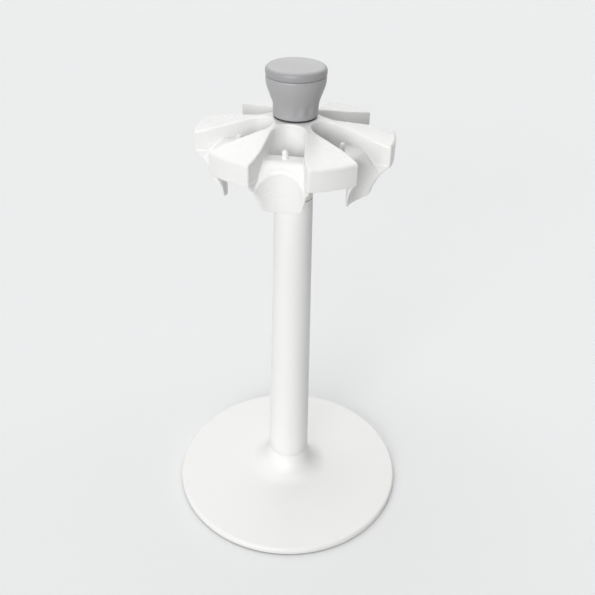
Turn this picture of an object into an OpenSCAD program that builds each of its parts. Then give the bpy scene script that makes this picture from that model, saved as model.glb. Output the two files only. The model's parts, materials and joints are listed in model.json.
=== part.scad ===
// Pipette carousel stand: a weighted round base, a tapered column and a
// six-bay carousel that turns freely on a spindle under a carrying knob.
// Millimetres, +Z up. Origin: centre of the footprint, on the bench.
// Bay 0 of the carousel opens towards -Y.

/* [Stand] */
// Height from the bench to the top of the knob
stand_height = 330; // [280:1:380]
// Running gap between parts that turn against each other, along the axis
running_gap = 0.1; // [0.05:0.01:0.2]
// Radial clearance between a plug, rod or screw and its hole
fit_gap = 0.05; // [0.02:0.01:0.1]

/* [Base] */
// Diameter of the base cover
base_d = 173; // [150:1:200]
// Height of the base cover's rim above the bench
base_rim_h = 5.5; // [5:0.1:8]
// Radius of the rounded rim edge
base_edge_r = 2.2; // [1:0.1:2.5]
// Angle at which the cover rises from the rim towards the column, degrees
base_rise_angle = 5.1; // [4:0.1:7]
// Radius of the sweep from the cover into the column
base_sweep_r = 18; // [14:0.5:22]
// Wall thickness of the base cover
base_wall = 2.2; // [1.8:0.1:2.6]
// Gap between the cover's rim and the bench
rim_lift = 0.8; // [0.4:0.1:1.1]
// Thickness of a rubber foot
foot_t = 1.4; // [1.2:0.1:2]
// Diameter of a rubber foot
foot_d = 12; // [8:0.5:14]
// Number of rubber feet
feet = 4; // [3:1:8]
// Thickness of the bottom plate
plate_t = 1; // [0.8:0.1:1.2]
// Number of screws that hold the bottom plate
plate_screws = 6; // [3:1:8]
// Radius of the circle on which the bottom plate's screws lie
plate_screw_circle_r = 52; // [45:1:60]
// Diameter of a bottom plate screw's shank
plate_screw_d = 2.4; // [2:0.1:3]
// Diameter of a bottom plate screw's countersunk head
plate_screw_head_d = 5.6; // [5:0.1:6]

/* [Column] */
// Diameter of the column where it stands on the base's neck
column_foot_d = 30.4; // [28:0.2:34]
// Diameter of the column at its top
column_top_d = 25; // [23:0.2:27]
// Wall thickness of the column
column_wall = 2.2; // [1.8:0.1:2.6]
// Diameter of the tie rod inside the column
rod_d = 8; // [6:0.5:9]
// Length of the foot plug, half in the base's neck and half in the column
foot_plug_len = 36; // [28:1:44]
// Length of the column head
head_len = 32; // [26:1:40]

/* [Spindle] */
// Diameter of the spindle's journal
journal_d = 10; // [8:0.5:11]
// Diameter of the spindle's threaded end
stud_d = 6; // [5:0.5:7]
// Wall thickness of a plain bush
bush_wall = 2; // [1.5:0.1:2.5]
// Length of a plain bush below its flange
bush_len = 14; // [10:1:18]
// Radial clearance between journal and bush
journal_gap = 0.05; // [0.02:0.01:0.1]

/* [Carousel] */
// Diameter of the carousel
carousel_d = 123.6; // [118:0.1:130]
// Number of pipette bays
bays = 6; // [3:1:6]
// Height of the carousel's rim
rim_h = 13.5; // [12:0.5:16]
// Radius of the rounded top edge of the rim
rim_edge_r = 1.6; // [0.8:0.1:2]
// Rise of the carousel's top from the rim to the hub
crown_rise = 9.2; // [7:0.1:11]
// Wall thickness of the carousel moulding
wall = 2; // [1.6:0.1:2.2]
// Diameter of the hub's sleeve around the spindle
sleeve_d = 24.8; // [24:0.2:25]

/* [Bay] */
// Distance of the round inner end's centre from the axis
slot_centre_r = 25.4; // [25:0.1:27]
// Radius of the round inner end of a bay's slot
slot_end_r = 10.2; // [8:0.1:10.4]
// Distance from the axis at which the bay's walls turn outwards
bend_r = 48; // [46:0.5:50]
// Half width of the bay at that bend
bend_half_w = 12.6; // [12:0.1:13]
// Half width of the bay's mouth at the rim
mouth_half_w = 16.6; // [15.5:0.1:17.5]
// Distance from the axis of the shelf's inner edge
shelf_in_r = 31.5; // [30:0.5:33]
// Distance from the axis of the shelf's outer edge
shelf_out_r = 43; // [42:0.5:44]
// Depth of the shelf below the rim's top
shelf_drop = 3.8; // [3:0.1:5]
// Angle at which the face falls from the shelf's edge, degrees
face_angle = 50; // [45:1:55]
// Radius of the cradle that a pipette's body leans in
cradle_r = 17; // [16:0.1:18]
// Distance of the cradle's centre line from the axis
cradle_axis_r = 63.5; // [63:0.1:65]
// Depth of the tongue's tip below the rim's top
tongue_drop = 33.8; // [30:0.2:36]
// Radius of the tongue's rounded tip
tongue_tip_r = 28; // [24:1:34]
// Radius of the hollow in the tongue's side edges
tongue_side_r = 31.4; // [29:0.2:34]
// Half width of the tongue at its tip
tongue_half_w = 9.9; // [9:0.1:10.5]
// Diameter of the locating pin on the shelf
pin_d = 3.6; // [3:0.1:4.4]
// Height of the locating pin
pin_h = 5.3; // [4:0.1:7]
// Distance of the locating pin from the axis
pin_r = 35.8; // [34:0.1:38]

/* [Knob] */
// Diameter of the knob at its foot
knob_foot_d = 27.5; // [26.5:0.1:29]
// Largest diameter of the knob
knob_d = 37; // [34:0.2:40]
// Height of the knob's cap above its parting line
cap_h = 5.7; // [4.5:0.1:7]
// Height of the knob's body from foot to parting line
knob_body_h = 24; // [20:0.5:28]
// Thickness of the ring under the knob
knob_ring_t = 1; // [0.6:0.1:1.4]
// Number of shallow flutes around the knob
flutes = 12; // [8:1:16]
// Depth of a flute
flute_depth = 0.4; // [0.2:0.1:0.6]

/* [Hidden] */
$fn = 64;
eps = 0.01;

// Levels, from the top down.
parting_z = stand_height - cap_h;
knob_foot_z = parting_z - knob_body_h;
hub_top_z = knob_foot_z - knob_ring_t - running_gap;
rim_z = hub_top_z - crown_rise;
rim_bottom_z = rim_z - rim_h;
shelf_z = rim_z - shelf_drop;
tongue_z = rim_z - tongue_drop;
sleeve_drop = 29.6;
sleeve_z = rim_bottom_z - sleeve_drop;
thrust_t = 0.8;
column_top_z = sleeve_z - running_gap - thrust_t;

// Base section.
base_r = base_d / 2;
plate_z = foot_t;
plate_top_z = plate_z + plate_t;
column_foot_r = column_foot_d / 2;
sweep_centre_r = column_foot_r + base_sweep_r;
sweep_end_r = sweep_centre_r - base_sweep_r * sin(base_rise_angle);
sweep_end_z = cover_z(sweep_end_r);
neck_z = sweep_end_z + base_sweep_r * cos(base_rise_angle);
neck_bore_r = column_foot_r - column_wall - 0.1;
neck_seat_z = plate_top_z + 6;
neck_root_r = column_foot_r + 2.8;

// Column section.
column_top_r = column_top_d / 2;
column_taper = (column_foot_r - column_top_r) / (column_top_z - neck_z);
rod_r = rod_d / 2;
stud_r = stud_d / 2;
head_z = column_top_z - head_len;
head_web = 3;
rod_top_z = head_z + (head_len - head_web) / 2;
plug_top_z = neck_z + foot_plug_len / 2;
plug_bottom_z = neck_z - foot_plug_len / 2 + 4;

// Ballast, tie nut and washer.
ballast_z = plate_top_z + 0.1;
ballast_r = base_r - 8;
ballast_gap = 0.3;
ballast_hub_z = plug_bottom_z - 0.1;
tie_washer_r = 8;
tie_washer_t = 1.6;
tie_nut_flat = 13;
tie_nut_h = 4.4;
tie_pocket_r = 9;
tie_seat_z = ballast_hub_z - 3;
tie_washer_z = tie_seat_z - tie_washer_t;
tie_nut_z = tie_washer_z - tie_nut_h;
rod_z = tie_nut_z - 1.2;
boss_r = 3.4;
boss_gap = 0.6;
screw_bite = cover_z(plate_screw_circle_r) - base_wall - 0.4 - plate_top_z;

// Spindle stack.
journal_r = journal_d / 2;
bush_r = journal_r + journal_gap + bush_wall;
bush_flange_t = 1.5;
lower_flange_r = bush_r + 3;
upper_flange_r = bush_r + 2;
upper_flange_z = hub_top_z - 1.2;
upper_flange_top_z = upper_flange_z + bush_flange_t;
wave_t = 0.5;
journal_top_z = upper_flange_top_z + wave_t + 2 * running_gap;
washer_r = upper_flange_r - 1;
washer_t = 1.2;
nut_flat = 10;
nut_h = 5;
nut_z = journal_top_z + washer_t;
stud_top_z = nut_z + nut_h + 1.6;

// Carousel.
carousel_r = carousel_d / 2;
sleeve_r = sleeve_d / 2;
sleeve_bore_r = bush_r + 1;
hub_core_r = slot_centre_r - slot_end_r - 1.6;
hub_flat_r = slot_centre_r - slot_end_r + 1;
boss_wall = 1.8;
knob_boss_r = upper_flange_r + 0.15 + boss_wall;
knob_boss_h = 8;
bay_pitch = 360 / bays;
mouth_r = sqrt(carousel_r * carousel_r - mouth_half_w * mouth_half_w);
slot_slope = acos(slot_end_r / norm([bend_half_w, bend_r - slot_centre_r]))
    - atan2(bend_r - slot_centre_r, bend_half_w);
flare_slope = atan((mouth_half_w - bend_half_w) / (mouth_r - bend_r));
rib_t = 1.6;
tongue_edge_r = cradle_axis_r - sqrt(cradle_r * cradle_r - tongue_half_w * tongue_half_w);
side_arc_r = tongue_edge_r + tongue_side_r;
side_arc_z = tongue_z - 1.2;
lip_round_r = 3;
round_x = shelf_out_r - lip_round_r * tan(face_angle / 2);
face_x = round_x + lip_round_r * sin(face_angle);
crown_slope = atan(crown_rise / (carousel_r - hub_flat_r));

// Knob.
knob_foot_r = knob_foot_d / 2;
knob_r = knob_d / 2;
knob_wall = 2.4;
knob_socket_z = knob_foot_z + knob_boss_h + 0.6;
knob_core_z = knob_socket_z + knob_wall;
cap_spigot_h = 4;
spigot_bore_r = knob_boss_r - 2;
flute_r = 5;
flute_start = 1.5;
flute_len = 5;

// Height of the base cover's straight rise at radius r.
function cover_z(r) = base_rim_h + (base_r - base_edge_r - r) * tan(base_rise_angle);
// Outer radius of the column at height z.
function column_r(z) = column_foot_r - (z - neck_z) * column_taper;
// Radius of the plugs that fill the column's bore, at height z.
function plug_r(z) = column_r(z) - column_wall - fit_gap;
// Points of an arc about [cx, cz] from angle a0 to a1 in n steps.
function arc(cx, cz, r, a0, a1, n) =
    [for (i = [0:n]) let (a = a0 + (a1 - a0) * i / n) [cx + r * cos(a), cz + r * sin(a)]];
// Height of the falling face at distance x from the axis.
function face_z(x) = shelf_z - lip_round_r * (1 - cos(face_angle)) - (x - face_x) * tan(face_angle);
// A list of points in the opposite order.
function reverse(list) = [for (i = [len(list) - 1:-1:0]) list[i]];
// Half width of the bay's straight walls at distance x from the axis, grown by g.
function slot_half(x, g) =
    (slot_end_r + g + (x - slot_centre_r) * sin(slot_slope)) / cos(slot_slope);
function flare_half(x, g) =
    bend_half_w + (x - bend_r) * tan(flare_slope) + g / cos(flare_slope);
// Distance from the axis at which the two grown walls cross.
function bend_at(g) = bend_r
    - g * (1 / cos(flare_slope) - 1 / cos(slot_slope)) / (tan(flare_slope) - tan(slot_slope));

// A ring between two radii, standing on z.
module ring(outer_r, inner_r, z, h) {
    translate([0, 0, z]) difference() {
        cylinder(r = outer_r, h = h);
        translate([0, 0, -1]) cylinder(r = inner_r, h = h + 2);
    }
}

// A hexagonal nut with its bore, standing on z.
module hex_nut(flat, bore_r, z, h) {
    translate([0, 0, z]) difference() {
        cylinder(r = flat / 2 / cos(30), h = h, $fn = 6);
        translate([0, 0, -1]) cylinder(r = bore_r, h = h + 2);
    }
}

// Children repeated n times around the axis at radius r.
module around(n, r, first = 0) {
    for (i = [0:n - 1]) rotate([0, 0, first + i * 360 / n]) translate([r, 0, 0]) children();
}

/* ---- Base ---- */

// Section of the base cover's outside, from the axis to the rim.
module cover_section() {
    edge_z = base_rim_h - base_edge_r;
    difference() {
        union() {
            polygon([[0, rim_lift], [base_r, rim_lift], [base_r, edge_z],
                     [base_r - base_edge_r, edge_z], [base_r - base_edge_r, cover_z(base_r - base_edge_r)],
                     [sweep_end_r, sweep_end_z], [column_foot_r, neck_z], [0, neck_z]]);
            translate([base_r - base_edge_r, edge_z]) circle(r = base_edge_r);
        }
        translate([sweep_centre_r, neck_z]) circle(r = base_sweep_r);
        translate([column_foot_r, neck_z]) square([base_r, base_sweep_r]);
    }
}

// Section of the hollow under the cover.
module cover_hollow_section() {
    hollow_r = base_r - base_wall;
    polygon([[0, -1], [hollow_r, -1], [hollow_r, plate_top_z + 0.1],
             [base_r - base_edge_r - base_wall, cover_z(base_r - base_edge_r) - base_wall - 0.2],
             [sweep_end_r, sweep_end_z - base_wall], [neck_root_r, neck_seat_z], [0, neck_seat_z]]);
}

module base_cover() {
    color([0.93, 0.93, 0.93]) {
        difference() {
            rotate_extrude() cover_section();
            rotate_extrude() cover_hollow_section();
            cylinder(r = neck_bore_r, h = neck_z + 1);
        }
        around(plate_screws, plate_screw_circle_r) translate([0, 0, plate_top_z]) difference() {
            cylinder(r = boss_r, h = cover_z(plate_screw_circle_r) - base_wall / 2 - plate_top_z);
            translate([0, 0, -1]) cylinder(r = plate_screw_d / 2 + fit_gap, h = screw_bite + 1.2);
        }
    }
}

module ballast_weight() {
    slope_end_z = cover_z(ballast_r) - base_wall - 0.2 - ballast_gap;
    color([0.32, 0.33, 0.35]) difference() {
        rotate_extrude() polygon([[rod_r + 0.3, ballast_z], [ballast_r, ballast_z],
            [ballast_r, slope_end_z], [sweep_end_r, sweep_end_z - base_wall - ballast_gap],
            [neck_root_r, neck_seat_z - ballast_gap], [neck_bore_r - 0.3, neck_seat_z - ballast_gap],
            [neck_bore_r - 0.3, ballast_hub_z], [rod_r + 0.3, ballast_hub_z]]);
        translate([0, 0, ballast_z - 1]) cylinder(r = tie_pocket_r, h = tie_seat_z - ballast_z + 1);
        around(plate_screws, plate_screw_circle_r) cylinder(r = boss_r + boss_gap, h = neck_z);
    }
}

module bottom_plate() {
    head_r = plate_screw_head_d / 2 + fit_gap;
    shank_r = plate_screw_d / 2 + fit_gap;
    color([0.25, 0.26, 0.28]) difference() {
        translate([0, 0, plate_z]) cylinder(r = base_r - base_wall - 0.3, h = plate_t);
        around(plate_screws, plate_screw_circle_r) {
            cylinder(r = shank_r, h = plate_top_z + 1);
            translate([0, 0, plate_z - eps]) cylinder(r1 = head_r, r2 = shank_r, h = plate_t * 0.8);
        }
    }
}

module rubber_feet() {
    color([0.12, 0.12, 0.13]) around(feet, base_r - 12.5, 180 / feet) cylinder(r = foot_d / 2, h = foot_t);
}

module base_screws() {
    color([0.7, 0.7, 0.72]) around(plate_screws, plate_screw_circle_r) difference() {
        translate([0, 0, plate_z]) union() {
            cylinder(r1 = plate_screw_head_d / 2, r2 = plate_screw_d / 2, h = plate_t * 0.8);
            cylinder(r = plate_screw_d / 2, h = plate_t + screw_bite);
        }
        translate([-plate_screw_d / 2, -0.3, plate_z - eps]) cube([plate_screw_d, 0.6, 0.5]);
        translate([-0.3, -plate_screw_d / 2, plate_z - eps]) cube([0.6, plate_screw_d, 0.5]);
    }
}

/* ---- Column ---- */

module column() {
    color([0.94, 0.94, 0.94]) rotate_extrude() polygon([
        [column_foot_r - column_wall, neck_z], [column_foot_r, neck_z],
        [column_top_r, column_top_z], [column_top_r - column_wall, column_top_z]]);
}

module foot_plug() {
    color([0.55, 0.56, 0.58]) difference() {
        rotate_extrude() polygon([[0, plug_bottom_z], [neck_bore_r - fit_gap, plug_bottom_z],
            [neck_bore_r - fit_gap, neck_z], [plug_r(plug_top_z), plug_top_z], [0, plug_top_z]]);
        translate([0, 0, plug_bottom_z - 1]) cylinder(r = rod_r + fit_gap, h = foot_plug_len + 2);
    }
}

module tie_rod() {
    color([0.72, 0.72, 0.74]) translate([0, 0, rod_z]) cylinder(r = rod_r, h = rod_top_z - rod_z);
}

module tie_washer() {
    color([0.75, 0.75, 0.77]) ring(tie_washer_r, rod_r + fit_gap, tie_washer_z, tie_washer_t);
}

module tie_nut() {
    color([0.75, 0.75, 0.77]) hex_nut(tie_nut_flat, rod_r + fit_gap, tie_nut_z, tie_nut_h);
}

module column_head() {
    color([0.8, 0.8, 0.82]) difference() {
        rotate_extrude() polygon([[0, head_z], [plug_r(head_z), head_z],
            [plug_r(column_top_z), column_top_z], [0, column_top_z]]);
        translate([0, 0, head_z - 1]) cylinder(r = rod_r + fit_gap, h = rod_top_z - head_z + 1);
        translate([0, 0, rod_top_z + head_web]) cylinder(r = rod_r + fit_gap, h = head_len);
    }
}

/* ---- Spindle and bearings ---- */

module spindle() {
    color([0.78, 0.78, 0.8]) {
        translate([0, 0, rod_top_z + head_web]) cylinder(r = rod_r, h = column_top_z - rod_top_z - head_web);
        translate([0, 0, column_top_z]) cylinder(r = journal_r, h = journal_top_z - column_top_z);
        translate([0, 0, journal_top_z]) cylinder(r = stud_r, h = stud_top_z - journal_top_z);
    }
}

module thrust_washer() {
    color([0.9, 0.88, 0.8]) ring(lower_flange_r + 1, journal_r + fit_gap, column_top_z, thrust_t);
}

module lower_bush() {
    color([0.2, 0.2, 0.22]) union() {
        ring(lower_flange_r, journal_r + journal_gap, sleeve_z, bush_flange_t);
        ring(bush_r, journal_r + journal_gap, sleeve_z, bush_flange_t + bush_len);
    }
}

module upper_bush() {
    color([0.2, 0.2, 0.22]) union() {
        ring(upper_flange_r, journal_r + journal_gap, upper_flange_z, bush_flange_t);
        ring(bush_r, journal_r + journal_gap, upper_flange_z - bush_len, bush_len + bush_flange_t);
    }
}

module wave_washer() {
    color([0.7, 0.68, 0.6])
        ring(washer_r, journal_r + fit_gap, upper_flange_top_z + running_gap, wave_t);
}

module spindle_washer() {
    color([0.75, 0.75, 0.77]) ring(washer_r, stud_r + fit_gap, journal_top_z, washer_t);
}

module lock_nut() {
    color([0.75, 0.75, 0.77]) union() {
        hex_nut(nut_flat, stud_r + fit_gap, nut_z, nut_h - 1.2);
        ring(nut_flat / 2 - 0.5, stud_r + fit_gap, nut_z, nut_h);
    }
}

/* ---- Carousel ---- */

// Section of the carousel's crown: sloping top, rounded edge and straight rim.
module crown_section() {
    edge_z = rim_z + rim_edge_r * (tan(crown_slope) - 1 / cos(crown_slope));
    polygon(concat([[0, rim_bottom_z], [carousel_r, rim_bottom_z]],
        arc(carousel_r - rim_edge_r, edge_z, rim_edge_r, 0, 90 - crown_slope, 5),
        [[hub_flat_r, hub_top_z], [0, hub_top_z]]));
}

// Section of the hollow under the crown, a wall's thickness inside it.
module hollow_section() {
    inner_r = carousel_r - wall;
    polygon([[hub_core_r, rim_bottom_z - 1], [inner_r, rim_bottom_z - 1],
             [inner_r, rim_z + wall * tan(crown_slope) - wall], [hub_flat_r, hub_top_z - wall],
             [hub_core_r, hub_top_z - wall]]);
}

// Children placed in every bay; bay 0 opens towards -Y.
module in_bays() {
    for (i = [0:bays - 1]) rotate([0, 0, i * bay_pitch - 90]) children();
}

// Plan of a bay from x0 outwards, grown by g: straight walls, then the wider mouth.
module bay_mouth_plan(x0, g) {
    b = bend_at(g);
    far = carousel_r + 6;
    polygon([[x0, slot_half(x0, g)], [b, slot_half(b, g)], [far, flare_half(far, g)],
             [far, -flare_half(far, g)], [b, -slot_half(b, g)], [x0, -slot_half(x0, g)]]);
}

// One bay as an upright block, open along +X and grown by g.
module bay_block(g) {
    h = rim_h + crown_rise + 4;
    translate([0, 0, rim_bottom_z - 2]) {
        translate([slot_centre_r, 0, 0]) cylinder(r = slot_end_r + g, h = h);
        linear_extrude(h) bay_mouth_plan(slot_centre_r - (slot_end_r + g) * sin(slot_slope), g);
    }
}

// A solid across the bay whose side view, distance from the axis against height, is the child.
module side_view() {
    half_w = mouth_half_w + 2 * wall;
    translate([0, half_w, 0]) rotate([90, 0, 0]) linear_extrude(2 * half_w) children();
}

// Top outline of the lip in side view: shelf, rounded edge and falling face, sunk by d.
function lip_outline(d) = concat(
    arc(round_x, shelf_z - lip_round_r - d, lip_round_r, 90, 90 - face_angle, 5),
    [[carousel_r, face_z(carousel_r) - d]]);

// Shelf, falling face and the upright wall behind the shelf, as one bent strip.
module lip_strip() {
    polygon(concat([[shelf_in_r, rim_bottom_z - 2], [shelf_in_r, shelf_z]], lip_outline(0),
        reverse(lip_outline(wall)),
        [[shelf_in_r + wall, shelf_z - wall], [shelf_in_r + wall, rim_bottom_z - 2]]));
}

// Shelf, face, cradle and tongue of one bay.
module bay_lip() {
    difference() {
        intersection() {
            union() {
                side_view() lip_strip();
                intersection() {
                    translate([cradle_axis_r, 0, tongue_z - 1])
                        cylinder(r = cradle_r + wall, h = tongue_drop);
                    side_view() polygon(concat(
                        [[shelf_in_r, tongue_z - 2], [shelf_in_r, shelf_z - wall / 2]],
                        lip_outline(wall / 2), [[carousel_r, tongue_z - 2]]));
                }
            }
            translate([0, 0, tongue_z - 1]) linear_extrude(tongue_drop) bay_mouth_plan(shelf_in_r, wall / 2);
            translate([0, 0, tongue_z + tongue_tip_r]) rotate([0, 90, 0])
                cylinder(r = tongue_tip_r, h = carousel_r + 1);
        }
        translate([cradle_axis_r, 0, tongue_z - 2]) cylinder(r = cradle_r, h = tongue_drop + 2);
        side_hollow();
    }
}

// The round hollow that shapes both side edges of the tongue.
module side_hollow() {
    translate([side_arc_r, carousel_r, side_arc_z]) rotate([90, 0, 0])
        cylinder(r = tongue_side_r, h = 2 * carousel_r);
}

// Cheeks that carry the bay's walls on below the rim, down to the falling face.
module cheeks() {
    far = carousel_r - 2 * wall;
    low_z = face_z(far) - wall / 2;
    x0 = face_x + (face_z(face_x) - wall - rim_bottom_z) / tan(face_angle) - 0.5;
    difference() {
        intersection() {
            union() {
                cheek_plate(x0, far, low_z);
                mirror([0, 1, 0]) cheek_plate(x0, far, low_z);
            }
            side_view() polygon([[x0, face_z(x0) - wall / 2], [far + 1, face_z(x0) - wall / 2],
                                 [far + 1, face_z(far + 1) - wall / 2]]);
        }
        side_hollow();
    }
}

module cheek_plate(x0, far, low_z) {
    translate([0, 0, low_z - 1]) linear_extrude(rim_bottom_z - low_z + 4)
        polygon([[x0, flare_half(x0, 0)], [far, flare_half(far, 0)],
                 [far, flare_half(far, wall)], [x0, flare_half(x0, wall)]]);
}

// Rib that ties the cradle's back to the wall behind the shelf.
module cradle_rib() {
    rib_z = rim_bottom_z - 8;
    translate([shelf_in_r + wall / 2, -rib_t / 2, rib_z])
        cube([cradle_axis_r - cradle_r - shelf_in_r - wall, rib_t, shelf_z - wall / 2 - rib_z]);
}

module locating_pin() {
    dome_z = shelf_z + pin_h - pin_d / 2;
    translate([pin_r, 0, shelf_z - wall / 2]) cylinder(r = pin_d / 2, h = dome_z - shelf_z + wall / 2);
    translate([pin_r, 0, dome_z]) sphere(r = pin_d / 2);
}

// Crown and rim with the bays cut through, hollow below between the bays' walls and ribs.
module crown() {
    difference() {
        rotate_extrude() crown_section();
        in_bays() bay_block(0);
        difference() {
            rotate_extrude() hollow_section();
            in_bays() {
                bay_block(wall);
                rotate([0, 0, bay_pitch / 2]) translate([hub_core_r - 1, -rib_t / 2, rim_bottom_z + 2])
                    cube([carousel_r, rib_t, rim_h + crown_rise + 4]);
            }
        }
    }
}

module turret() {
    color([0.95, 0.95, 0.95]) difference() {
        union() {
            crown();
            in_bays() {
                bay_lip();
                cheeks();
                cradle_rib();
                locating_pin();
            }
            translate([0, 0, sleeve_z]) cylinder(r = sleeve_r, h = hub_top_z - sleeve_z);
            translate([0, 0, hub_top_z - 1]) cylinder(r = knob_boss_r, h = knob_boss_h + 1);
        }
        rotate_extrude() polygon([
            [0, sleeve_z - 1], [lower_flange_r + fit_gap, sleeve_z - 1],
            [lower_flange_r + fit_gap, sleeve_z + bush_flange_t], [bush_r, sleeve_z + bush_flange_t],
            [bush_r, sleeve_z + bush_flange_t + bush_len],
            [sleeve_bore_r, sleeve_z + bush_flange_t + bush_len],
            [sleeve_bore_r, upper_flange_z - bush_len], [bush_r, upper_flange_z - bush_len],
            [bush_r, upper_flange_z], [upper_flange_r + 0.15, upper_flange_z],
            [upper_flange_r + 0.15, hub_top_z + knob_boss_h + 1], [0, hub_top_z + knob_boss_h + 1]]);
    }
}

/* ---- Knob ---- */

module knob_ring() {
    color([0.1, 0.1, 0.11])
        ring(knob_foot_r - 0.5, knob_boss_r + fit_gap, hub_top_z + running_gap, knob_ring_t);
}

// Outline of the knob from foot to parting line: a waist that swells to the full width.
module knob_section() {
    h = knob_body_h;
    shoulder_z = 0.93 * h;
    steps = 12;
    swell = [for (i = [0:steps]) let (u = i / steps, s = u * u * (3 - 2 * u))
        [knob_foot_r + 0.15 + (knob_r - knob_foot_r) * s, 5 + (shoulder_z - 5) * u]];
    translate([0, knob_foot_z]) polygon(concat([[0, 0], [knob_foot_r - 0.8, 0], [knob_foot_r, 0.8]],
        swell, [[knob_r - 0.3, h], [0, h]]));
}

module knob_body() {
    color([0.55, 0.56, 0.58]) difference() {
        rotate_extrude() knob_section();
        translate([0, 0, knob_foot_z - 1])
            cylinder(r = knob_boss_r + fit_gap, h = knob_socket_z - knob_foot_z + 1);
        translate([0, 0, knob_core_z]) cylinder(r = knob_boss_r, h = 40);
        around(flutes, knob_foot_r + flute_r - flute_depth, 180 / flutes)
            translate([0, 0, knob_foot_z + flute_start]) {
                cylinder(r = flute_r, h = flute_len);
                translate([0, 0, flute_len]) sphere(r = flute_r);
            }
    }
}

module knob_cap() {
    edge_r = cap_h / 2 - 0.05;
    color([0.58, 0.59, 0.61]) {
        rotate_extrude() translate([0, parting_z]) difference() {
            union() {
                polygon([[0, 0.01], [knob_r - 0.35, 0.01], [knob_r, 0.4],
                         [knob_r - 0.2, cap_h - edge_r], [knob_r - 0.2 - edge_r, cap_h - edge_r],
                         [knob_r - 0.2 - edge_r, cap_h], [0, cap_h]]);
                translate([knob_r - 0.2 - edge_r, cap_h - edge_r]) circle(r = edge_r);
            }
            square([spigot_bore_r, cap_h - knob_wall]);
        }
        ring(knob_boss_r - fit_gap, spigot_bore_r, parting_z - cap_spigot_h, cap_spigot_h + 1);
    }
}

base_cover();
ballast_weight();
bottom_plate();
rubber_feet();
base_screws();
column();
foot_plug();
tie_rod();
tie_washer();
tie_nut();
column_head();
spindle();
thrust_washer();
lower_bush();
upper_bush();
turret();
wave_washer();
spindle_washer();
lock_nut();
knob_ring();
knob_body();
knob_cap();
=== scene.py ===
# %% [markdown]
# # Pipette carousel stand
# A weighted round base carries a tapered column, and on the column a six-bay carousel turns under a grey
# carrying knob. The engineering solids arrive as a fixed frame in metres, with +Z up. This notebook dresses
# them: it makes smoother skins for the pieces that are seen most, gives every piece its finish, and lights
# the stand like a small product on a table.

# %% Load the frame
import json
import math

import bmesh
import bpy
import numpy as np
from mathutils import Matrix, Vector

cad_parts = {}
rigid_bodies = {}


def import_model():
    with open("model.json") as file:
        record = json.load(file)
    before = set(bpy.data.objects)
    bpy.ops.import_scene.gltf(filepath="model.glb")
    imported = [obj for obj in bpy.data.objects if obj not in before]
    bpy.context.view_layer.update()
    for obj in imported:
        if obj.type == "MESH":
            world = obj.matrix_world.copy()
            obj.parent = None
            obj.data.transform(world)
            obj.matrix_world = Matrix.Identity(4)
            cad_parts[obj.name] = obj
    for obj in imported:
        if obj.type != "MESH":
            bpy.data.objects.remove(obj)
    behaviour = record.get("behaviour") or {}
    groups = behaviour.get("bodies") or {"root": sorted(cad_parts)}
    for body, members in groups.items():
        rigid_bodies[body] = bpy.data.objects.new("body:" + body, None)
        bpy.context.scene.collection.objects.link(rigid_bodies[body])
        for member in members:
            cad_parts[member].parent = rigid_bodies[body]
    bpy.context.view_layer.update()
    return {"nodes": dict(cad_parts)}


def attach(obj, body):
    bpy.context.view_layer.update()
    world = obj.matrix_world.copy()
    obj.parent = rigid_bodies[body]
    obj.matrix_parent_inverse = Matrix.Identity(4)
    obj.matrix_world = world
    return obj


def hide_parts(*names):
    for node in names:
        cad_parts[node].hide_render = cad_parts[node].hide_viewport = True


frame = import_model()
print("nodes in the frame:", len(frame["nodes"]))

# %% [markdown]
# ## Camera
# The stand is seen from a little over a third of a right angle above the horizon, and slightly to the right
# of the bay that faces forward. A camera's own axes are easiest to write as a heading, a pitch and a roll,
# multiplied in that order, because each turn then keeps its plain meaning.

# %% Camera
EYE = (0.06607, -0.42919, 0.4509)
HEADING, PITCH, ROLL = 8.203, 33.095, 1.495
SENSOR_MM, LENS_MM = 36, 44.61

def look(heading, pitch, roll):
    """Camera turn from degrees: heading anticlockwise from +Y, pitch below the horizon, roll about the view."""
    turn = Matrix.Rotation(math.radians(heading), 4, "Z")
    tilt = Matrix.Rotation(math.radians(90 - pitch), 4, "X")
    return turn @ tilt @ Matrix.Rotation(math.radians(roll), 4, "Z")

cam_data = bpy.data.cameras.new("camera")
cam_data.sensor_width = SENSOR_MM
cam_data.lens = LENS_MM
camera = bpy.data.objects.new("camera", cam_data)
camera.matrix_world = Matrix.Translation(EYE) @ look(HEADING, PITCH, ROLL)
bpy.context.scene.collection.objects.link(camera)
bpy.context.scene.camera = camera
print("camera stands", round(camera.location.length, 3), "m from the foot of the stand")

# %% [markdown]
# ## Surfaces of revolution
# Nearly everything here was turned or moulded round an axis, so one helper does most of the modelling. It
# takes a profile as radius and height, and carries it round the axis as one array of points. A function of
# radius, height and angle can change the radius, which is how the knob gets its flutes.

# %% Lathe
MERGE = 1e-6

def mesh_object(name, points, faces):
    """A smooth object at the origin from points in metres and a list of faces: points closer than MERGE
    become one, and the normals are turned outwards."""
    mesh = bpy.data.meshes.new(name)
    mesh.from_pydata(np.asarray(points).tolist(), [], faces)
    mesh.update()
    build = bmesh.new()
    build.from_mesh(mesh)
    bmesh.ops.remove_doubles(build, verts=build.verts, dist=MERGE)
    bmesh.ops.recalc_face_normals(build, faces=build.faces)
    build.to_mesh(mesh)
    build.free()
    mesh.polygons.foreach_set("use_smooth", [True] * len(mesh.polygons))
    obj = bpy.data.objects.new(name, mesh)
    bpy.context.scene.collection.objects.link(obj)
    return obj


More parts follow.
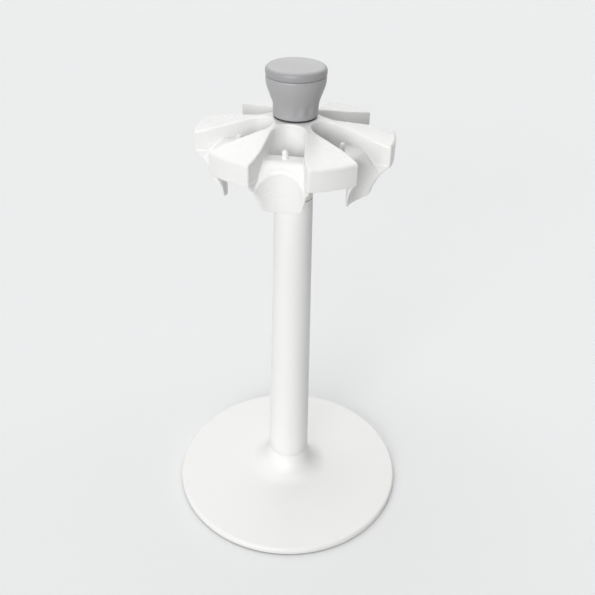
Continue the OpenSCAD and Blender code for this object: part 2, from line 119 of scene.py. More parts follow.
def lathe(name, profile, steps=192, radius=None):
    """Closed skin: each profile point (r, z) in mm goes to (r' cos a, r' sin a, z), r' = radius(r, z, a)."""
    r, z = np.asarray(profile, float).T
    a = np.arange(steps) * 2 * math.pi / steps
    r2, a2 = np.meshgrid(r, a, indexing="ij")
    z2 = np.repeat(z[:, None], steps, axis=1)
    if radius is not None:
        r2 = radius(r2, z2, a2)
    points = np.stack([r2 * np.cos(a2), r2 * np.sin(a2), z2], -1).reshape(-1, 3) / 1000
    i, j = np.meshgrid(np.arange(len(r)), np.arange(steps), indexing="ij")
    i2, j2 = (i + 1) % len(r), (j + 1) % steps
    quads = np.stack([i * steps + j, i * steps + j2, i2 * steps + j2, i2 * steps + j], -1).reshape(-1, 4)
    return mesh_object(name, points, quads.tolist())


def arc(cx, cz, r, start, end, n=8):
    """Points of a circle's arc about (cx, cz), angles in degrees from the +r direction."""
    a = np.radians(np.linspace(start, end, n + 1))
    return np.stack([cx + r * np.cos(a), cz + r * np.sin(a)], 1)

print("a quarter circle of radius 10 in two steps:", arc(0, 0, 10, 0, 90, 2).round(2).tolist())

# %% [markdown]
# ## Base cover
# The cover is a thin dish turned upside down, with a rounded rim and a sweep that runs into the neck. A disc
# could be pulled into this shape, but a profile keeps the wall's thickness exact: it goes up the outside and
# comes back down the inside, so the skin is a closed wall like the real one.

# %% Base cover
RISE = 5.1
NECK_Z, NECK_BORE = 28.13, 12.9
RIM_EDGE_R, RIM_EDGE_Z, RIM_ROUND = 84.3, 3.3, 2.2
SWEEP_R, SWEEP_ROUND = 33.2, 18
SEAT_Z, LIP_Z, LIP_ROUND = 8.4, 1.2, 0.4

edge = arc(RIM_EDGE_R, RIM_EDGE_Z, RIM_ROUND, 0, 90 - RISE)
sweep = arc(SWEEP_R, NECK_Z, SWEEP_ROUND, 270 - RISE, 180, 24)
underside = np.array([[NECK_BORE, NECK_Z], [NECK_BORE, SEAT_Z], [18.0, SEAT_Z]])
inner = np.array([[31.6, 7.7], [82.1, 3.1], [RIM_EDGE_R, 2.4], [RIM_EDGE_R, LIP_Z]])
lip = arc(84.7, LIP_Z, LIP_ROUND, 180, 270, 3)
outer_lip = arc(86.1, LIP_Z, LIP_ROUND, 270, 360, 3)
radii = np.linspace(84, 36, 12)
slope = np.stack([radii, edge[-1, 1] + (edge[-1, 0] - radii) * math.tan(math.radians(RISE))], 1)
base = lathe("base_shell", np.vstack([outer_lip, edge, slope, sweep, underside, inner, lip]))
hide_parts("base_cover")
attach(base, "stand")
print("base cover:", len(base.data.polygons), "faces")

# %% [markdown]
# ## Column
# A tapered tube. A plain cone would do for the outline, but its ends have a fine broken edge, which catches
# the light where it meets the neck below and the carousel's sleeve above.

# %% Column
COLUMN_Z, COLUMN_FOOT_R, COLUMN_TOP_R = 246.0, 15.2, 12.5
FOOT_BREAK, TOP_BREAK = 0.12, 0.35
FOOT_BORE, TOP_BORE = 13.0, 10.3

def column_radius(z):
    """Outer radius in mm at height z, a straight taper from foot to top."""
    return COLUMN_FOOT_R - (z - NECK_Z) * (COLUMN_FOOT_R - COLUMN_TOP_R) / (COLUMN_Z - NECK_Z)

heights = np.linspace(28.25, 245.6, 24)
outside = np.stack([column_radius(heights), heights], 1)
foot_edge = [[FOOT_BORE, NECK_Z], [column_radius(28.2) - FOOT_BREAK, NECK_Z]]
top_edge = [[column_radius(COLUMN_Z) - TOP_BREAK, COLUMN_Z], [TOP_BORE, COLUMN_Z]]
column = lathe("column_tube", np.vstack([foot_edge, outside, top_edge]))
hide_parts("column")
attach(column, "stand")
print("column:", len(column.data.polygons), "faces")

# %% [markdown]
# ## Knob
# The knob swells from a waist to its full width along a smooth S-curve, and shallow flutes give the fingers
# a hold just above its foot. Cutting the flutes with cylinders would leave a hard edge round each. A flute is
# a dip in the radius instead, which fades in above the foot and out below the swell, so no edge shows.

# %% Knob body
FOOT_Z, FOOT_R, WAIST_R, FULL_R = 300.3, 13.75, 13.9, 18.2
FOOT_ROUND, SWELL_START, SWELL_HEIGHT = 0.6, 5, 17.3
SHOULDER_Z, SOCKET_R, POLE_R = 324.25, 11.1, 0.01
FLUTES, FLUTE_DEPTH, FLUTE_HALF = 12, 0.5, 0.42

def swell(u):
    """Smooth step from 0 to 1: u * u * (3 - 2 * u)."""
    return u * u * (3 - 2 * u)

def fluted(r, z, a):
    """Radius after the flutes: a rounded dip, FLUTE_HALF of the pitch to each side, times a fade that comes
    in over 3 mm above the foot and goes out over the 5 mm below a height of 11 mm. The socket stays round."""
    pitch = (a * FLUTES / (2 * math.pi)) % 1 - 0.5
    dip = np.clip(1 - (pitch / FLUTE_HALF) ** 2, 0, 1) ** 1.5
    fade = swell(np.clip((z - FOOT_Z - 0.8) / 3, 0, 1)) * swell(np.clip((FOOT_Z + 11 - z) / 5, 0, 1))
    return np.where(r > 12, r - FLUTE_DEPTH * dip * fade, r)

u = np.linspace(0, 1, 28)
flank = np.stack([WAIST_R + (FULL_R - WAIST_R) * swell(u), FOOT_Z + SWELL_START + SWELL_HEIGHT * u], 1)
straight = np.linspace([FOOT_R, FOOT_Z + 0.8], [WAIST_R, FOOT_Z + 4.6], 14)
foot = arc(FOOT_R - FOOT_ROUND, FOOT_Z + FOOT_ROUND, FOOT_ROUND, 270, 350, 4)
shoulder = np.array([[FULL_R, 323.4], [FULL_R - 0.1, 323.9], [FULL_R - 0.3, 324.2], [FULL_R - 0.5, SHOULDER_Z]])
socket = np.array([[SOCKET_R, SHOULDER_Z], [SOCKET_R, 311.4], [POLE_R, 311.3],
                   [POLE_R, 308.9], [SOCKET_R, 308.9], [SOCKET_R, FOOT_Z]])
knob = lathe("knob_grip", np.vstack([foot, straight, flank, shoulder, socket]), 288, fluted)
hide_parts("knob_body")
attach(knob, "carousel")
print("knob body:", len(knob.data.polygons), "faces")

# %% [markdown]
# The cap is a shallow lid over the knob. It goes on widening a little above the parting line, where a fine
# groove is left, then turns over a soft round edge. Its top is a hair lower in the middle, as moulded lids are.

# %% Knob cap
CAP_Z, CAP_TOP_Z, CAP_DISH = 324.36, 330, 0.35
CAP_EDGE_R, CAP_EDGE_Z, CAP_ROUND = 15.45, 327.0, 3.0

cap_side = np.array([[POLE_R, CAP_Z], [17.7, CAP_Z], [18.0, 324.5], [18.2, 324.8], [18.38, 325.8]])
cap_edge = arc(CAP_EDGE_R, CAP_EDGE_Z, CAP_ROUND, 0, 90, 18)
across = np.linspace(14.8, POLE_R, 14)
cap_top = np.stack([across, CAP_TOP_Z - CAP_DISH * (1 - (across / CAP_EDGE_R) ** 2)], 1)
cap = lathe("knob_lid", np.vstack([cap_side, cap_edge, cap_top]))
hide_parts("knob_cap")
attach(cap, "carousel")
print("knob cap:", len(cap.data.polygons), "faces")

# %% [markdown]
# ## Carousel
# The carousel is one moulding with dozens of edges, and a mould leaves a small round on each. Bevelling that
# many crossing edges tears a mesh, so the moulding is written as a distance field instead: a function that
# says how far a point lies outside the plastic, or how deep inside. Fields join with a minimum and cut with a
# maximum, and a rounded maximum or minimum leaves exactly the radius that is asked for.

# %% Rounded joins of distance fields
def both(a, b, r):
    """What lies inside a and b, its edge rounded by r: a quarter circle where both are within r of zero."""
    return np.minimum(-r, np.maximum(a, b)) + np.hypot(np.maximum(a + r, 0), np.maximum(b + r, 0))


def either(a, b, r):
    """What lies inside a or b, with a fillet of radius r in the corner between them."""
    return np.maximum(r, np.minimum(a, b)) - np.hypot(np.maximum(r - a, 0), np.maximum(r - b, 0))


def all_of(*parts):
    """What lies inside every part, with sharp edges: the largest of the distances."""
    return np.maximum.reduce(parts)

print("a 1 mm round takes", round(float(both(0.0, 0.0, 1.0)), 3), "mm off the corner of two flats")

# %% [markdown]
# All six bays are alike and each is its own mirror image. So a point is first folded into half a bay: u runs
# outwards along the bay's middle line, v sideways from it. After that every wall, shelf and cradle is written
# only once. Measures are in millimetres and named for what they place; a name that ends in _R is a radius, in
# _Z a height, in _U a distance along the bay and in _HALF half a width. The last number of each both() or
# either() is its round.

# %% Measures of the carousel
RIM_R, RIM_Z, HUB_R, HUB_Z = 61.8, 290.0, 16.2, 299.2
SLOPE = math.atan2(HUB_Z - RIM_Z, RIM_R - HUB_R)
FLOOR_Z, WALL = 276.5, 2.0
HOLLOW_R, RIB_R, RIB_HALF = 18, 28, 0.8
SLOT_U, SLOT_R, TAPER = 25.4, 10.2, math.radians(5.92)
MOUTH_START_U, MOUTH_U, MOUTH_HALF, FLARE = 36, 48, 12.6, math.radians(19.13)
SHELF_U, FALL_U, SHELF_Z, FALL = 31.5, 43, 286.2, math.radians(50)
CRADLE_U, CRADLE_R, TONGUE_R = 63.5, 17, 19
TIP_Z, TIP_R = 256.2, 28
SCOOP_U, SCOOP_Z, SCOOP_R = 81.08, 255, 31.4
CHEEK_IN_U, CHEEK_OUT_U, CHEEK_Z, CHEEK_STEP = 48.96, 57.8, 278.1, 0.64
TIE_IN_U, TIE_OUT_U, TIE_LOW_Z, TIE_HIGH_Z = 32, 45.5, 268.5, 285
PIN_U, PIN_R, PIN_LOW_Z, PIN_HIGH_Z = 35.8, 1.8, 285, 289.7
SLEEVE_R, SLEEVE_Z, BOSS_R, BOSS_Z, HUB_MIDDLE_Z = 12.4, 246.9, 11, 307.2, 290
BUSH_R, LOW_SEAT_R, LOW_SEAT_Z, HIGH_SEAT_R, HIGH_SEAT_Z = 7.05, 10.1, 248.4, 9.2, 298
RELIEF_R, RELIEF_LOW_Z, RELIEF_HIGH_Z = 8.05, 262.4, 284
print("the crown slopes by", round(math.degrees(SLOPE), 2), "degrees")

# %% The carousel as a field
def fold(x, y):
    """Radius r, angle a from the nearest bay's middle line, and u = r cos a, v = r sin a."""
    r = np.hypot(x, y)
    a = np.abs((np.arctan2(y, x) + math.pi / 2 + math.pi / 6) % (math.pi / 3) - math.pi / 6)
    return r, a, r * np.cos(a), r * np.sin(a)


def bay_walls(u, v):
    """Distances from the bay's slot (round end, tapered sides) and from its wider mouth, negative inside."""
    along = (u - SLOT_U) * math.cos(TAPER) + v * math.sin(TAPER)
    sides = v * math.cos(TAPER) - (u - SLOT_U) * math.sin(TAPER)
    slot = np.where(along > 0, sides, np.hypot(u - SLOT_U, v)) - SLOT_R
    mouth = (v - MOUTH_HALF) * math.cos(FLARE) - (u - MOUTH_U) * math.sin(FLARE)
    return slot, np.maximum(mouth, MOUTH_START_U - u)


def crown_field(r, a, z, slot, mouth):
    """Sloping top and rim, minus the bays, minus the hollow that leaves 2 mm walls and a rib per sector.

    A rib ends 2 mm above the floor, and within RIB_R of the axis goes down to it. The corners of the hollow
    are rounded by 2.4 mm, which also closes the wedge where a rib nears a wall."""
    top = (z - RIM_Z - (RIM_R - r) * math.tan(SLOPE)) * math.cos(SLOPE)
    outer = both(both(top, z - HUB_Z, 0.5), r - RIM_R, 1.6)
    crown = both(outer, both(-slot, -mouth, 1.5), 1.1)
    rib = both(r * np.sin(math.pi / 6 - a) - RIB_HALF, np.minimum(FLOOR_Z + 2 - z, r - RIB_R), 0.5)
    gap = both(both(WALL - np.minimum(slot, mouth), HOLLOW_R - r, 2.4), -rib, 2.4)
    hollow = all_of(r - RIM_R + WALL, top + WALL, gap)
    return both(both(crown, FLOOR_Z - z, 0.8), -hollow, 0.6)


def lip_field(u, v, z, bay):
    """Shelf and falling face as a 2 mm strip, the round cradle cut into it, and the curved tongue below."""
    fall = (u - FALL_U) * math.sin(FALL) + (z - SHELF_Z) * math.cos(FALL)
    over = both(both(z - SHELF_Z, SHELF_U - u, 0.6), fall, 3.0)
    under = all_of(z - SHELF_Z + WALL, SHELF_U + WALL - u, fall + WALL)
    strip = np.maximum(both(over, -under, 0.4), FLOOR_Z - 2 - z)
    q = np.hypot(u - CRADLE_U, v)
    side = SCOOP_R - np.hypot(u - SCOOP_U, z - SCOOP_Z)
    tip = np.hypot(v, z - TIP_Z - TIP_R) - TIP_R
    lip = both(np.minimum(strip, both(q - TONGUE_R, over, 0.8)), CRADLE_R - q, 0.9)
    return both(both(both(lip, side, 0.9), tip, 0.9), bay - 1, 0.8), fall, side


def hub_bore(r, z):
    """The bore for the bushes with its two seats for their flanges, and the relief between the bushes."""
    low_seat = np.maximum(r - LOW_SEAT_R, z - LOW_SEAT_Z)
    high_seat = np.maximum(r - HIGH_SEAT_R, HIGH_SEAT_Z - z)
    relief = all_of(r - RELIEF_R, RELIEF_LOW_Z - z, z - RELIEF_HIGH_Z)
    return np.minimum.reduce([r - BUSH_R, low_seat, high_seat, relief])


def carousel_field(x, y, z):
    """The whole moulding: crown, lips, cheeks, ribs, pins, sleeve and boss, minus the bearing bores."""
    r, a, u, v = fold(x, y)
    slot, mouth = bay_walls(u, v)
    lip, fall, side = lip_field(u, v, z, np.minimum(slot, mouth))
    cheek = all_of(-mouth, mouth - WALL, z - CHEEK_Z, u - CHEEK_OUT_U)
    cheek = np.maximum(both(both(cheek, -(fall + CHEEK_STEP), 0.8), side, 0.9), CHEEK_IN_U - u)
    tie = all_of(TIE_LOW_Z - z, z - TIE_HIGH_Z, TIE_IN_U - u, u - TIE_OUT_U, fall + 0.8)
    tie = both(v - RIB_HALF, tie, 0.5)
    pin = np.sqrt((u - PIN_U) ** 2 + v ** 2 + np.maximum(z - PIN_HIGH_Z, 0) ** 2) - PIN_R
    solid = either(either(crown_field(r, a, z, slot, mouth), lip, 0.6), cheek, 0.6)
    solid = either(np.minimum(solid, tie), np.maximum(pin, PIN_LOW_Z - z), 0.5)
    sleeve = both(r - SLEEVE_R, np.maximum(z - HUB_MIDDLE_Z, SLEEVE_Z - z), 0.5)
    boss = all_of(r - BOSS_R, z - BOSS_Z, HUB_MIDDLE_Z - z)
    return np.maximum(np.minimum(either(solid, sleeve, 0.8), boss), -hub_bore(r, z))

print("depth inside the sector's top wall, mm:", round(float(-carousel_field(50.0, 0.0, 291.0)), 2))

# %% [markdown]
# A surface net turns a field into a mesh. Space is cut into small cells; each cell that the surface passes
# through gets one point, the mean of its crossings, and each grid edge that is crossed gets one four-sided
# face. Every point then slides along the field's slope until it lies on the surface, and the same slope is
# its normal, so flats stay flat and rounds stay smooth whatever the size of the cells.

# %% Surface net
def surface_net(field, low, high, step):
    """Points and four-sided faces of field = 0 on a grid of cubes of side step, faces turned outwards."""
    axes = [np.arange(a, b + step, step) for a, b in zip(low, high)]
    grid = np.stack(np.meshgrid(*axes, indexing="ij"), -1)
    f = field(*np.moveaxis(grid, -1, 0))
    inside = f < 0
    sizes = [len(a) - 1 for a in axes]
    corners = [(i, j, k) for i in (0, 1) for j in (0, 1) for k in (0, 1)]
    count = sum(inside[tuple(slice(o, o + n) for o, n in zip(c, sizes))].astype(np.int8) for c in corners)
    crossed = (count > 0) & (count < 8)
    cells = np.argwhere(crossed)
    number = np.full(crossed.shape, -1)
    number[crossed] = np.arange(len(cells))
    # Each cell's point: the mean of the places where its twelve edges cross the surface.
    total, hits = np.zeros((len(cells), 3)), np.zeros(len(cells))
    for corner in corners:
        for axis in [i for i in range(3) if not corner[i]]:
            other = [c + (i == axis) for i, c in enumerate(corner)]
            start, end = tuple((cells + corner).T), tuple((cells + other).T)
            change = inside[start] != inside[end]
            share = np.where(change, f[start] / np.where(change, f[start] - f[end], 1), 0)
            point = grid[start].copy()
            point[:, axis] += share * step
            total += point * change[:, None]
            hits += change
    # Each crossed edge's face: the points of the four cells round it, in the order that faces outwards.
    faces = []
    for axis in range(3):
        b, c = (axis + 1) % 3, (axis + 2) % 3
        near, far = [[slice(1, -1)] * 3 for _ in range(2)]
        near[axis], far[axis] = slice(0, -1), slice(1, None)
        edges = np.argwhere(inside[tuple(near)] != inside[tuple(far)])
        edges[:, [b, c]] += 1
        around = []
        for step_b, step_c in ((-1, -1), (0, -1), (0, 0), (-1, 0)):
            beside = edges.copy()
            beside[:, b] += step_b
            beside[:, c] += step_c
            around.append(number[tuple(beside.T)])
        quad = np.stack(around, 1)
        back = ~inside[tuple(edges.T)]
        quad[back] = quad[back][:, ::-1]
        faces.append(quad)
    return total / hits[:, None], np.vstack(faces)

def ball(x, y, z):
    """A ball of radius 5 mm, the simplest field: the distance from the middle, less 5."""
    return np.sqrt(x * x + y * y + z * z) - 5

ball_points, ball_faces = surface_net(ball, (-6, -6, -6), (6, 6, 6), 1.0)
print("a net round a ball:", len(ball_faces), "faces")
print("its points are off by up to", np.abs(ball(*ball_points.T)).max().round(3), "mm")

# %% Onto the surface
def slope_of(field, p, h=0.02):
    """Unit slope of the field at points p, from differences of h mm along each axis."""
    g = np.stack([field(*(p + h * e).T) - field(*(p - h * e).T) for e in np.eye(3)], 1)
    return g / np.maximum(np.linalg.norm(g, axis=1, keepdims=True), 1e-9)


def settle(field, p, turns=4, most=0.4, ease=0.9):
    """Moves points p onto the surface: each turn goes back along the slope by the distance found there,
    at most this many mm, and eased a little so that a point in a corner doesn't overshoot."""
    for _ in range(turns):
        p = p - np.clip(field(*p.T), -most, most)[:, None] * slope_of(field, p) * ease
    return p

print("the same points settled: off by", np.abs(ball(*settle(ball, ball_points).T)).max().round(5), "mm")

# %% [markdown]
# The net's cells are the same size everywhere, and a flat needs far fewer faces than a round. Decimate takes
# away those that say least, and one more settling puts what is left back on the surface. The normals come
# from the field and not from the faces, which hides the thinning.

# %% Carousel skin
CELL, KEEP = 0.6, 0.41
LOW, HIGH = (-62.6, -62.6, 246.2), (62.6, 62.6, 308.2)

def points_of(mesh):
    """A mesh's points in mm as an array of rows."""
    flat = np.empty(len(mesh.vertices) * 3, np.float32)
    mesh.vertices.foreach_get("co", flat)
    return flat.reshape(-1, 3).astype(float) * 1000


def moulded(name, field, low, high, step, keep):
    """Mesh of a field: net, settle, thin the flats to the share keep, settle again, normals from the slope."""
    points, faces = surface_net(field, low, high, step)
    points = settle(field, points)
    mesh = bpy.data.meshes.new(name)
    mesh.from_pydata((points / 1000).tolist(), [], faces.tolist())
    obj = bpy.data.objects.new(name, mesh)
    bpy.context.scene.collection.objects.link(obj)
    thin = obj.modifiers.new("thin", "DECIMATE")
    thin.ratio = keep
    lean = bpy.data.meshes.new_from_object(obj.evaluated_get(bpy.context.evaluated_depsgraph_get()))
    obj.modifiers.clear()
    obj.data = lean
    points = settle(field, points_of(lean), 3, 0.2)
    lean.vertices.foreach_set("co", (points / 1000).astype(np.float32).ravel())
    lean.polygons.foreach_set("use_smooth", [True] * len(lean.polygons))
    lean.normals_split_custom_set_from_vertices(slope_of(field, points).tolist())
    lean.update()
    return obj

turret = moulded("carousel_moulding", carousel_field, LOW, HIGH, CELL, KEEP)
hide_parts("turret")
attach(turret, "carousel")
print("carousel moulding:", len(turret.data.polygons), "faces")

# %% [markdown]
# ## Finishes
# A finish is a few textures that steer one shader. Written as Python the maths stays readable, so a small
# class wraps a socket and turns +, - and * into Math nodes, and one function adds every other kind of node.

# %% Sockets as values
class Value:
    """A node's output that can be used in arithmetic with numbers and other outputs."""

    def __init__(self, tree, socket):
        self.tree, self.socket = tree, socket

    def maths(self, operation, first, second):
        """A Math node; each of its two terms is a number or another output."""
        node = self.tree.nodes.new("ShaderNodeMath")
        node.operation = operation
        for slot, item in zip(node.inputs, (first, second)):
            if isinstance(item, Value):
                self.tree.links.new(item.socket, slot)
            else:
                slot.default_value = item
        return Value(self.tree, node.outputs[0])

    def __add__(self, other): return self.maths("ADD", self, other)
    def __radd__(self, other): return self.maths("ADD", other, self)
    def __sub__(self, other): return self.maths("SUBTRACT", self, other)
    def __rsub__(self, other): return self.maths("SUBTRACT", other, self)
    def __mul__(self, other): return self.maths("MULTIPLY", self, other)
    def __rmul__(self, other): return self.maths("MULTIPLY", other, self)
    def root(self): return self.maths("POWER", self, 0.5)
    def sine(self): return self.maths("SINE", self, 0)


def add_node(tree, kind, settings=None, output=0, **inputs):
    """Any other node: settings first, then a number or a link for each socket, by name (From_Min) or i and
    its number where several share a name (i6). Gives the output asked for."""
    made = tree.nodes.new(kind)
    for key, item in (settings or {}).items():
        setattr(made, key, item)
    for key, item in inputs.items():
        slot = made.inputs[int(key[1:]) if key[1:].isdigit() else key.replace("_", " ")]
        if isinstance(item, Value):
            tree.links.new(item.socket, slot)
        else:
            slot.default_value = item
    return Value(tree, made.outputs[output])


def rgba(colour):
    """A colour with its alpha, for a Mix node's socket; a colour that comes from a node passes through."""
    return (*colour, 1) if isinstance(colour, tuple) else colour

print("operators for sockets: + - *, root and sine")

# %% A finish
class Finish:
    """A material: constants are set on the shader, and what varies is fed to it from nodes."""

    def __init__(self, name, **constants):
        self.material = bpy.data.materials.new(name)
        self.material.use_nodes = True
        self.tree = self.material.node_tree
        self.shader = next(n for n in self.tree.nodes if n.type == "BSDF_PRINCIPLED")
        for key, number in constants.items():
            self.shader.inputs[key.replace("_", " ")].default_value = number
        self.place = self.node("ShaderNodeTexCoord", output="Object")

    def node(self, kind, settings=None, output=0, **inputs):
        return add_node(self.tree, kind, settings, output, **inputs)

    def noise(self, scale, detail=3.0, rough=0.55, stretch=(1, 1, 1)):
        """Noise from 0 to 1 with features about 1/scale metres wide, stretched along the axes."""
        place = self.node("ShaderNodeMapping", Vector=self.place, Scale=stretch)
        return self.node("ShaderNodeTexNoise", output="Fac", Vector=place, Scale=scale, Detail=detail,
                         Roughness=rough)

    def ramp(self, value, low, high):
        """Takes value from the range low..high to 0..1 and clamps it."""
        return self.node("ShaderNodeMapRange", {"clamp": True}, Value=value, From_Min=low, From_Max=high)

    def blend(self, factor, first, second):
        """Mix of two colours, by factor."""
        return self.node("ShaderNodeMix", {"data_type": "RGBA"}, output=2, Factor=factor,
                         i6=rgba(first), i7=rgba(second))

    def feed(self, key, value):
        """Links value to the shader's socket of that name."""
        self.tree.links.new(value.socket, self.shader.inputs[key])

    def bump(self, height, distance):
        """Raises the surface by height (0 to 1) times distance in metres."""
        self.feed("Normal", self.node("ShaderNodeBump", Height=height, Distance=distance, Strength=1.0))

    def along(self, axis):
        """The coordinate along X, Y or Z, in metres."""
        return self.node("ShaderNodeSeparateXYZ", output=axis, Vector=self.place)

    def from_axis(self):
        """The distance from the stand's axis in metres: the root of x * x + y * y."""
        x, y = self.along("X"), self.along("Y")
        return (x * x + y * y).root()

print("a finish can:", [name for name in vars(Finish) if not name.startswith("_")])

# %% [markdown]
# ### White mouldings
# The base, the column and the carousel are moulded in the same white plastic and differ in grain. A moulded
# white surface is never one flat tone: it has a fine grain, a slow drift in gloss where the melt cooled, and
# faint grey scuffs where hands and the bench touch it.

# %% White mouldings
WARMER = (1.0, 0.995, 0.975)
SCUFF_GREY, SCUFF_SHARE = (0.66, 0.66, 0.65), 0.2

def white_moulding(name, tone, rough, grain, grain_depth, scuff_at):
    """White plastic: scuff_at(finish) gives where handling greys it and takes its gloss, from 0 to 1."""
    finish = Finish(name, IOR=1.5, Coat_Weight=0.12, Coat_Roughness=0.12)
    drift = finish.noise(35, 2)
    fine = finish.noise(grain, 4, 0.6)
    scuffs = finish.ramp(finish.noise(260, 5, 0.7, (1, 1, 0.35)), 0.56, 0.72) * scuff_at(finish)
    body = finish.blend(drift, tone, tuple(c * f for c, f in zip(tone, WARMER)))
    finish.feed("Base Color", finish.blend(scuffs * SCUFF_SHARE, body, SCUFF_GREY))
    finish.feed("Roughness", drift * 0.08 + fine * 0.06 + scuffs * 0.12 + (rough - 0.07))
    finish.bump(fine * 0.7 + drift * 0.3, grain_depth)
    return finish.material

def rim_scuffs(finish):
    """The base's outer rim, from 78 mm to 86 mm from the axis."""
    return finish.ramp(finish.from_axis(), 0.078, 0.086)

def foot_scuffs(finish):
    """The column's lowest 60 mm, most at its foot."""
    return 1 - finish.ramp(finish.along("Z"), 0.03, 0.09)

def shelf_scuffs(finish):
    """The carousel's bays and rim, from 30 mm outwards."""
    return finish.ramp(finish.from_axis(), 0.03, 0.06) * 0.8

for piece, name, tone, rough, grain, depth, scuffs in (
        (base, "base_plastic", (0.88, 0.88, 0.875), 0.5, 1800, 2e-5, rim_scuffs),
        (column, "column_plastic", (0.87, 0.87, 0.87), 0.34, 900, 1.5e-5, foot_scuffs),
        (turret, "turret_plastic", (0.84, 0.84, 0.84), 0.28, 1400, 1.2e-5, shelf_scuffs)):
    piece.data.materials.append(white_moulding(name, tone, rough, grain, depth, scuffs))
    print(name, "on", piece.name)

# %% [markdown]
# ### Knob
# The knob is a matt grey moulding with a spark-eroded grain: tiny even pits, deeper than on the white pieces.
# Fingers polish its swell, so that is a touch lighter. The top of its cap is painted a touch lighter too:
# painted light, where the light from above falls on it.

# %% Knob finish
PIT_DEPTH = 6e-5

def grained_grey(name, tone, light, wear_and_top_light, pale):
    """Matt grey plastic: pits and specks of fine noise, and a mask from the given function, 0 to 1, where it is
    pale times as light and a little glossier; that is real polish from wear on the swell, and painted light on
    the cap's top."""
    finish = Finish(name, IOR=1.5)
    pits = finish.noise(2600, 2, 0.5)
    cloud = finish.noise(60, 3)
    polish_and_top_light = wear_and_top_light(finish) * (finish.noise(300, 4) * 0.3 + 0.7)
    body = finish.blend(finish.ramp(pits, 0.3, 0.75) * 0.6 + cloud * 0.4, tone, light)
    finish.feed("Base Color", finish.blend(polish_and_top_light, body, tuple(pale * c for c in light)))
    finish.feed("Roughness", 0.33 + pits * 0.1 - polish_and_top_light * 0.05)
    finish.bump(pits * 0.8 + cloud * 0.2, PIT_DEPTH)
    return finish.material

def swell_wear(finish):
    """The widest part of the knob's swell."""
    return finish.ramp(finish.from_axis(), 0.0165, 0.0185) * 0.1

def painted_top_light(finish):
    """The top of the cap, down to a little way round its edge: painted light, where light from above falls on
    it.
    """
    return finish.ramp(finish.along("Z"), 0.3284, 0.3297)

# The cap and the body are the same grey plastic; the cap's tones are set darker, painted shade that offsets the
# stronger light higher up on the knob.
for piece, name, tone, light, wear_and_top_light, pale in (
        (knob, "knob_plastic", (0.35, 0.35, 0.357), (0.39, 0.39, 0.398), swell_wear, 1.35),
        (cap, "cap_plastic", (0.315, 0.315, 0.322), (0.35, 0.35, 0.358), painted_top_light, 1.28)):
    piece.data.materials.append(grained_grey(name, tone, light, wear_and_top_light, pale))
    print(name, "on", piece.name)

# %% [markdown]
# ### Hidden pieces
# What sits inside or underneath gets a finish of its own too, because the stand is also shown taken apart
# and from below. The metals come first: zinc-plated and ground steel, and turned aluminium, whose tool leaves
# fine rings. One function makes all three from a tone, a roughness and the size and direction of its noise.

# %% Metals
def metal(name, tone, rough, scale, stretch, depth, rings=0.0):
    """Bare or plated metal: fine noise stretched along the working direction, and where it was turned, a
    sine of rings radians per metre along its height and radius."""
    finish = Finish(name, Metallic=1.0)
    lines = finish.noise(scale, 4, 0.65, stretch)
    cloud = finish.noise(120, 3)
    if rings:
        wave = ((finish.along("Z") + finish.from_axis()) * rings).sine()
        lines = lines * 0.5 + wave * 0.25 + 0.25
    finish.feed("Base Color", finish.blend(cloud, tone, tuple(0.86 * c for c in tone)))
    finish.feed("Roughness", lines * 0.16 + cloud * 0.08 + (rough - 0.12))
    finish.bump(lines, depth)
    return finish.material

plated = metal("zinc_plate", (0.62, 0.62, 0.6), 0.36, 900, (1, 1, 1), 1e-5)
ground = metal("ground_steel", (0.66, 0.66, 0.67), 0.2, 2400, (1, 1, 0.05), 4e-6)
turned = metal("turned_aluminium", (0.74, 0.74, 0.75), 0.32, 1200, (1, 1, 0.2), 8e-6, 12000)
print("metals:", plated.name, ground.name, turned.name)

# %% [markdown]
# The rest is dull: black rubber, painted plate, cast iron and the bearing plastics. Each is a speckled tone
# with a grain, so again one function makes them all. The ring under the knob shows and takes the black rubber
# too: painted shade, a dark ring where the gap between the knob and the carousel is in shadow.

# %% Dull pieces
def dull(name, tone, rough, scale, depth, specks, metallic=0.0):
    """Paint, rubber, iron or bearing plastic: a speckled tone with a grain of the given size and depth."""
    finish = Finish(name, Metallic=metallic)
    grain = finish.noise(scale, 4, 0.6)
    cloud = finish.noise(90, 3)
    finish.feed("Base Color", finish.blend(finish.ramp(grain, 0.4, 0.75) * 0.7 + cloud * 0.3, tone, specks))
    finish.feed("Roughness", grain * 0.2 + cloud * 0.1 + (rough - 0.15))
    finish.bump(grain, depth)
    return finish.material

rubber_and_gap_shade = dull("foot_rubber_and_gap_shade", (0.025, 0.025, 0.026), 0.75, 900, 4e-5, (0.06, 0.06, 0.06))
paint = dull("plate_paint", (0.07, 0.072, 0.076), 0.5, 1500, 2e-5, (0.12, 0.12, 0.125))
iron = dull("cast_iron", (0.13, 0.13, 0.135), 0.6, 500, 1.2e-4, (0.24, 0.23, 0.22), 0.7)
acetal = dull("natural_acetal", (0.75, 0.73, 0.66), 0.4, 1200, 1e-5, (0.8, 0.78, 0.72))
nylon = dull("filled_nylon", (0.045, 0.046, 0.05), 0.45, 1600, 1.5e-5, (0.09, 0.09, 0.095))
FINISH_OF = {
    "ballast_weight": iron, "bottom_plate": paint, "rubber_feet": rubber_and_gap_shade, "base_screws": plated,
    "foot_plug": turned, "tie_rod": plated, "tie_washer": plated, "tie_nut": plated,
    "column_head": turned, "spindle": ground, "thrust_washer": acetal, "wave_washer": ground,
    "spindle_washer": plated, "lock_nut": plated, "lower_bush": nylon, "upper_bush": nylon,
    # the knob ring's black is painted shade for the shadowed gap under the knob
    "knob_ring": rubber_and_gap_shade,
}
for node, material in FINISH_OF.items():
    mesh = frame["nodes"][node].data
    mesh.materials.clear()
    mesh.materials.append(material)
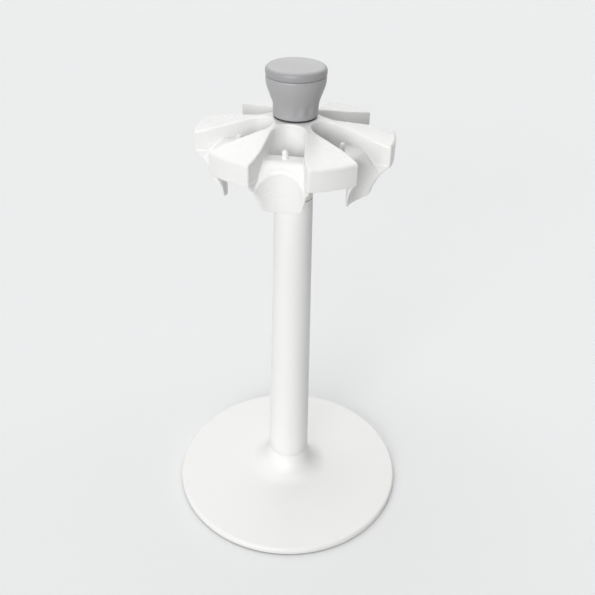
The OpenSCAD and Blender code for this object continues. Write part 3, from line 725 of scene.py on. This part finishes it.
print("finished nodes:", len(FINISH_OF))

# %% [markdown]
# ## Floor
# A plain pale floor fills the view. It throws less light back than it shows to the camera, because a bright
# table would fill every shadow. Light Path tells the two kinds of ray apart.

# %% Floor
FLOOR_R, BOUNCED = 9, (0.55, 0.55, 0.55)

def looked_at(tree):
    """1 for rays that come from the camera, from a mirror or through glass, and 0 for light that scatters."""
    path = add_node(tree, "ShaderNodeLightPath").socket.node.outputs
    return sum(Value(tree, path[f"Is {kind} Ray"]) for kind in ("Camera", "Glossy", "Transmission"))

bpy.ops.mesh.primitive_circle_add(vertices=128, radius=FLOOR_R, fill_type="NGON")
floor = bpy.context.object
floor.name = "floor"
paper = Finish("floor_paper", Roughness=0.9, Specular_IOR_Level=0.1)
shown = paper.blend(paper.noise(3, 2), (0.87, 0.875, 0.88), (0.885, 0.89, 0.895))
paper.feed("Base Color", paper.blend(looked_at(paper.tree), BOUNCED, shown))
floor.data.materials.append(paper.material)
print("floor:", 2 * FLOOR_R, "m across")

# %% [markdown]
# ## Light
# White pieces need restraint. The light comes from two wide suns, one low in front and a little to the left,
# one overhead, and the sky is dim and darker still on the right, so that round pieces turn into shade there.
# A sun is equally strong everywhere, which keeps the floor one even tone. The sky is pale only where it is
# looked at, straight or in a reflection.

# %% Suns and sky
SKY_LEFT, SKY_RIGHT, SKY_SEEN = 0.3, 0.0, 0.95

def sun(name, towards, strength, width):
    """A sun seen in the direction towards, with its strength in W/m2 and its width across in degrees."""
    data = bpy.data.lights.new(name, "SUN")
    data.energy = strength
    data.angle = math.radians(width)
    obj = bpy.data.objects.new(name, data)
    obj.rotation_euler = Vector(towards).to_track_quat("Z", "Y").to_euler()
    bpy.context.scene.collection.objects.link(obj)

sun("front", (-0.17, -0.97, 0.13), 2.75, 42)
sun("above", (0.0, 0.4, 1.0), 2.3, 95)
world = bpy.data.worlds.new("sky")
world.use_nodes = True
sky = world.node_tree
heading = add_node(sky, "ShaderNodeTexCoord", output="Generated")
rightwards = add_node(sky, "ShaderNodeSeparateXYZ", output="X", Vector=heading)
dim = add_node(sky, "ShaderNodeMapRange", {"interpolation_type": "SMOOTHSTEP"}, Value=rightwards,
               From_Min=-0.6, From_Max=0.4, To_Min=SKY_LEFT, To_Max=SKY_RIGHT)
seen = looked_at(sky)
glow = seen * SKY_SEEN + (1 - seen) * dim
background = sky.nodes["Background"].inputs
background["Color"].default_value = (1.0, 1.0, 1.0, 1.0)
sky.links.new(glow.socket, background["Strength"])
bpy.context.scene.world = world
bpy.context.scene.view_settings.view_transform = "Standard"

# %% [markdown]
